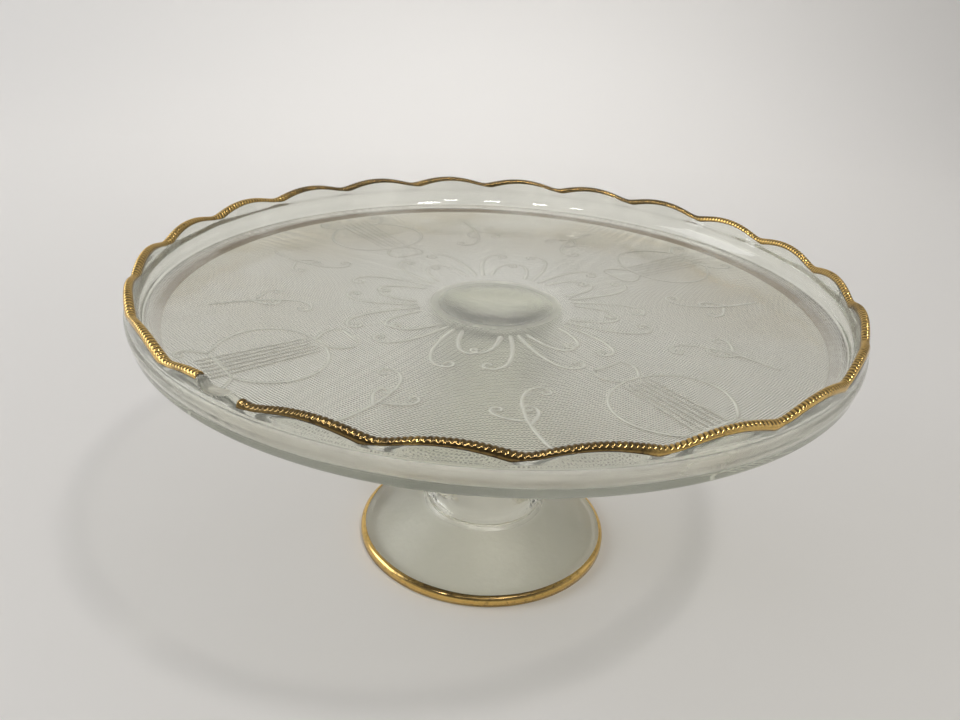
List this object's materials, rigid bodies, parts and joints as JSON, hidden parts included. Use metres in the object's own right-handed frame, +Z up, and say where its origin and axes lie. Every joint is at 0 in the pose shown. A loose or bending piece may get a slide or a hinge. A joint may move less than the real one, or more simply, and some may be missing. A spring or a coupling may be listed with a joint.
{
  "type": "cake stand",
  "caption": "Footed cake stand of clear pressed glass: a round plate with a scalloped gilded rim, on a hollow flared pedestal with a gilded foot.",
  "frame": {"origin": "centre of the foot, on the surface it stands on", "axes": "+Z up along the stem; the chip in the rim is at about 236 degrees from +X, counter-clockwise seen from above"},
  "size_m": [0.2586, 0.2586, 0.118],
  "materials": {
    "clear_glass": "clear pressed glass with a faint grey-green tint, fine moulded ground on the underside of the plate",
    "fired_gold": "fired-on bright gold, worn thin and dark in places"
  },
  "bodies": {
    "root": {"plate": "clear_glass", "joining_wafer": "clear_glass", "pedestal": "clear_glass", "rim_gilding": "fired_gold", "foot_gilding": "fired_gold", "lyre_reliefs": "clear_glass", "spray_reliefs": "clear_glass", "plume_reliefs": "clear_glass"}
  },
  "joints": []
}
